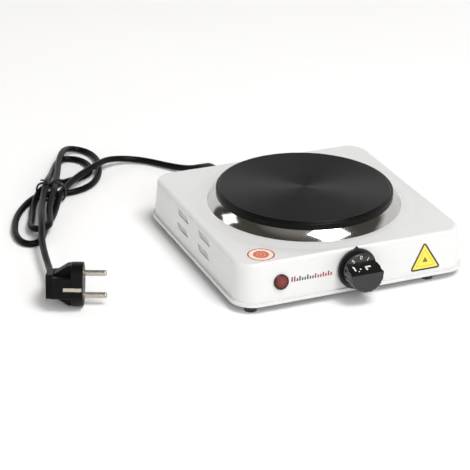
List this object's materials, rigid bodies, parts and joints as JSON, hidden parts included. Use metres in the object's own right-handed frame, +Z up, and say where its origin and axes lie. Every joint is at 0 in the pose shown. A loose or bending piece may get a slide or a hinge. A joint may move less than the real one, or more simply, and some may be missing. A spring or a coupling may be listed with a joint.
{
  "type": "electric hot plate",
  "caption": "Table-top electric hot plate with a round cast-iron plate in a trim ring, a white enamelled housing, a thermostat knob, an indicator lamp and a mains cord with plug.",
  "frame": {"origin": "on the table, under the middle of the object measured without its free cord and plug", "axes": "+Z up; the front panel with the knob faces -Y; +X to the right as seen from the front"},
  "size_m": [0.356, 0.4032, 0.0571],
  "materials": {
    "white_enamel": "gloss white vitreous enamel",
    "zinc_sheet": "zinc-coated sheet steel",
    "polished_ring": "polished stainless sheet",
    "cast_iron_black": "heat-proof black coating over turned rings",
    "coil_steel": "oxidised",
    "magnesia": "pressed magnesia, matt",
    "glazed_ceramic": "glazed ceramic",
    "plain_steel": "zinc plated",
    "brass_blade": "plain",
    "black_phenolic": "moulded, semi-gloss",
    "red_lens": "translucent, gloss",
    "lamp_glass": "clear",
    "terminal_plastic": "moulded",
    "brown_pvc": "insulation",
    "blue_pvc": "insulation",
    "green_yellow_pvc": "insulation",
    "heat_sleeve": "woven glass sleeving",
    "black_rubber": "matt",
    "cord_rubber": "smooth sheath, satin",
    "plug_rubber": "moulded, satin",
    "nickel_pin": "nickel plated",
    "orange_paper": "printed paper, gloss varnish",
    "yellow_paper": "printed paper, gloss varnish"
  },
  "bodies": {
    "burner": {"housing_shell": "white_enamel", "base_plate": "zinc_sheet", "corner_brackets": "zinc_sheet", "rubber_feet": "black_rubber", "foot_screws": "plain_steel", "trim_ring": "polished_ring", "cooking_plate": "cast_iron_black", "heating_coil": "coil_steel", "insulating_filler": "magnesia", "heat_shield": "zinc_sheet", "centre_stud": "plain_steel", "clamp_strap": "plain_steel", "clamp_washer": "plain_steel", "clamp_nut": "plain_steel", "plate_terminal_block": "glazed_ceramic", "plate_terminals": "plain_steel", "thermal_cutout": "glazed_ceramic", "thermostat_bracket": "zinc_sheet", "thermostat_screws": "plain_steel", "thermostat_body": "glazed_ceramic", "thermostat_terminals": "brass_blade", "knob_bezel": "black_phenolic", "indicator_lens": "red_lens", "neon_lamp": "lamp_glass", "mains_terminal_block": "terminal_plastic", "terminal_screws": "plain_steel", "cord_clamp": "terminal_plastic", "inner_cord": "cord_rubber", "cord_gland": "black_rubber", "earth_screw": "plain_steel", "live_wire": "brown_pvc", "neutral_wire": "blue_pvc", "switched_wire": "heat_sleeve", "earth_wire": "green_yellow_pvc", "lamp_wire": "brown_pvc", "cord_lead": "cord_rubber", "cord_hank": "cord_rubber", "hank_tie": "black_rubber", "plug_lead": "cord_rubber", "plug_body": "plug_rubber", "plug_pins": "nickel_pin", "plug_earth_clips": "nickel_pin", "round_sticker": "orange_paper", "triangle_sticker": "yellow_paper"},
    "knob": {"control_knob": "black_phenolic", "thermostat_shaft": "plain_steel", "knob_spring_clip": "plain_steel"}
  },
  "joints": [
    {"name": "knob_turn", "type": "hinge", "parent": "burner", "child": "knob", "pos_m": [0, -0.09273, 0.02509], "axis": [0, 0.9899, -0.1416], "range_deg": [0, 270]}
  ]
}
